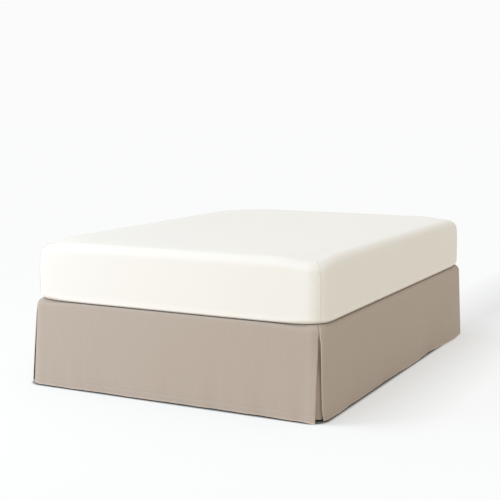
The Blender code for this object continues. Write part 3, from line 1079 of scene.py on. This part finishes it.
def square_rim(spot):
    """Squares the cover's lower rims at the foot and the head, as the shoulder of the foot drop is."""
    radius = MATTRESS_BOTTOM_EDGE
    end = MATTRESS_LENGTH / 2 - COVER_SLACK - radius
    level = DECK_TOP + GAP + radius
    across = (abs(spot.y) - end) / radius
    down = (level - spot.z) / radius
    straight = MATTRESS_WIDTH / 2 - MATTRESS_CORNER - abs(spot.x)
    if min(across, down, straight) > 0:
        power = 2 + (FOOT_POWER - 2) * ease(straight / SQUARE_REACH)
        side = 1 if spot.y > 0 else -1
        spot.y = side * (end + radius * across ** (2 / power))
        spot.z = level - radius * down ** (2 / power)


def fill(cover, pinned):
    """Fills a cover by cloth simulation. Its underside is held, and it gives by a few millimetres."""
    laid = [vert.co.copy() for vert in cover.data.vertices]
    held = cover.vertex_groups.new(name="underside")
    held.add(pinned, 1.0, "REPLACE")
    cloth = cover.modifiers.new("fill", "CLOTH")
    settings = cloth.settings
    settings.quality = COVER_QUALITY
    settings.mass = COVER_MASS
    settings.vertex_group_mass = held.name
    settings.use_pressure = True
    settings.uniform_pressure_force = COVER_PRESSURE
    settings.effector_weights.gravity = 0.0
    cloth.collision_settings.use_collision = False
    cloth.point_cache.frame_start = 1
    cloth.point_cache.frame_end = COVER_FRAMES
    scene = bpy.context.scene
    for frame_number in range(1, COVER_FRAMES + 1):
        scene.frame_set(frame_number)
    graph = bpy.context.evaluated_depsgraph_get()
    filled = bpy.data.meshes.new_from_object(cover.evaluated_get(graph))
    for vert, place in zip(filled.vertices, laid):
        move = vert.co - place
        if move.length > 0:
            vert.co = place + move.normalized() * COVER_GIVE * tanh(move.length / COVER_GIVE)
    cover.modifiers.clear()
    cover.data = filled
    scene.frame_set(1)


def mattress_cover(finish):
    bottom = DECK_TOP + GAP
    bm = rounded_block(
        MATTRESS_WIDTH - 2 * COVER_SLACK,
        MATTRESS_LENGTH - 2 * COVER_SLACK,
        bottom,
        MATTRESS_TOP - COVER_SLACK,
        MATTRESS_CORNER,
        MATTRESS_TOP_EDGE,
        MATTRESS_BOTTOM_EDGE,
    )
    cut_patches(bm, (MATTRESS_WIDTH / 2, MATTRESS_LENGTH / 2))
    for level in steps(bottom, MATTRESS_TOP, COVER_PATCH)[1:-1]:
        cut(bm, Vector((0, 0, level)), Vector((0, 0, 1)))
    bmesh.ops.remove_doubles(bm, verts=bm.verts, dist=MERGED)
    bm.verts.index_update()
    underside = [vert.index for vert in bm.verts if vert.co.z < bottom + COVER_SLACK]
    shade = bm.verts.layers.float.new("shade")
    for vert in bm.verts:
        # Painted light low on the cover, and painted shade at its very bottom
        above = vert.co.z - bottom
        vert[shade] = COVER_PAINTED_LIGHT * ease(1 - above / COVER_LIGHT_BY)
        vert[shade] -= (COVER_PAINTED_SHADE + COVER_PAINTED_LIGHT) * ease(1 - above / COVER_SHADE_BY)
        square_rim(vert.co)
        soften(vert.co)
    bmesh.ops.translate(bm, vec=BED, verts=bm.verts)
    cover = add_object(bm, "mattress_cover", finish)
    fill(cover, underside)
    finer = cover.modifiers.new("finer", "SUBSURF")
    finer.levels = 1
    finer.render_levels = 1
    apply_modifiers(cover)
    return ride(cover, "mattress_cover", "mattress")


def corner_seam(name, side_x, side_y, cover, finish):
    """The sewn ridge up a corner of the mattress cover and a little way onto its top."""
    mesh = cover.data
    surface = BVHTree.FromPolygons([v.co for v in mesh.vertices], [p.vertices for p in mesh.polygons])
    middle_x = side_x * (MATTRESS_WIDTH / 2 - MATTRESS_CORNER)
    middle_y = side_y * (MATTRESS_LENGTH / 2 - MATTRESS_CORNER)
    outward = Vector((side_x, side_y, 0)).normalized()
    upright = steps(DECK_TOP + SEAM_ABOVE_SHEET, MATTRESS_TOP - SEAM_BELOW_RIM, SEAM_STEP)
    guesses = [(MATTRESS_CORNER, height) for height in upright]
    for angle in steps(0.0, pi / 2, SEAM_TURN_STEP)[1:]:
        reach = MATTRESS_CORNER - MATTRESS_TOP_EDGE * (1 - cos(angle))
        guesses.append((reach, MATTRESS_TOP - SEAM_RIM_LOW + MATTRESS_TOP_EDGE * sin(angle)))
    on_top = MATTRESS_CORNER - MATTRESS_TOP_EDGE - SEAM_ON_TOP
    guesses.append((on_top, MATTRESS_TOP - SEAM_TOP_SUNK))
    path = []
    for reach, height in guesses:
        guess = BED + outward * reach + Vector((middle_x, middle_y, height))
        spot, normal, _, _ = surface.find_nearest(guess)
        path.append(spot + normal * SEAM_RIDGE * SEAM_PROUD)
    line = bpy.data.curves.new(name, "CURVE")
    line.dimensions = "3D"
    line.bevel_depth = SEAM_RIDGE
    line.bevel_resolution = 2
    line.use_fill_caps = True
    spline = line.splines.new("POLY")
    spline.points.add(len(path) - 1)
    for point, spot in zip(spline.points, path):
        point.co = (*spot, 1.0)
    drawn = bpy.data.objects.new(name, line)
    bpy.context.scene.collection.objects.link(drawn)
    bpy.context.view_layer.update()
    graph = bpy.context.evaluated_depsgraph_get()
    mesh = bpy.data.meshes.new_from_object(drawn.evaluated_get(graph))
    bpy.data.objects.remove(drawn)
    mesh.name = name
    mesh.materials.clear()
    mesh.materials.append(finish)
    mesh.shade_smooth()
    ridge = bpy.data.objects.new(name, mesh)
    bpy.context.scene.collection.objects.link(ridge)
    return ride(ridge, "mattress_cover")


def base_cover(finish):
    bottom = FOOT_HEIGHT
    top = DECK_TOP - CLOTH - GAP
    rims = (BASE_TOP_EDGE, BASE_BOTTOM_EDGE)
    bm = rounded_block(BASE_WIDTH, BASE_LENGTH, bottom, top, BASE_CORNER, *rims)
    bmesh.ops.translate(bm, vec=BED, verts=bm.verts)
    return ride(apply_modifiers(add_object(bm, "base_cover", finish)), "base_cloth", "base")


def base_foot(name, finish):
    """A plain round foot with softened rims, in the place of its node."""
    low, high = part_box(name)
    bm = bmesh.new()
    bmesh.ops.create_cone(
        bm,
        cap_ends=True,
        segments=FOOT_SIDES,
        radius1=FOOT_RADIUS,
        radius2=FOOT_RADIUS,
        depth=high.z - low.z,
    )
    rims = [e for e in bm.edges if abs(e.verts[0].co.z - e.verts[1].co.z) < SAME_LEVEL]
    bevel_edges(bm, rims, FOOT_RIM, FOOT_RIM_FACETS)
    bmesh.ops.translate(bm, vec=(low + high) / 2, verts=bm.verts)
    return ride(apply_modifiers(add_object(bm, f"{name}_glide", finish)), "feet", name)


set_camera()
light_studio()
twill = cotton_twill()
percale = cotton_percale()
canvas = base_canvas()
plastic = moulded_polypropylene()
lay_floor()
cover = mattress_cover(percale)
deck = platform_sheet(twill)
foot = foot_drop(twill)
right = side_drop(
    "side_drop_right",
    1,
    side_point(1, SETBACK_RIGHT, RIGHT_HEM, RIGHT_FOLDS + RIGHT_RIPPLES, RIGHT_SWING),
    "side_panel_right",
    twill,
)
left = side_drop(
    "side_drop_left",
    -1,
    side_point(-1, SETBACK_LEFT, LEFT_HEM, LEFT_FOLDS + LEFT_RIPPLES, LEFT_SWING),
    "side_panel_left",
    twill,
)
for name, side in (("right", 1), ("left", -1)):
    node = f"corner_underlay_{name}"
    underlay = corner_underlay(f"split_underlay_{name}", side, node, twill)
for name, side_x, side_y in (
    ("foot_right", 1, -1),
    ("foot_left", -1, -1),
    ("head_right", 1, 1),
    ("head_left", -1, 1),
):
    corner_seam(f"corner_seam_{name}", side_x, side_y, cover, percale)
base_cover(canvas)
for name in ("front_left", "front_right", "middle", "head_left", "head_right"):
    base_foot(f"foot_{name}", plastic)
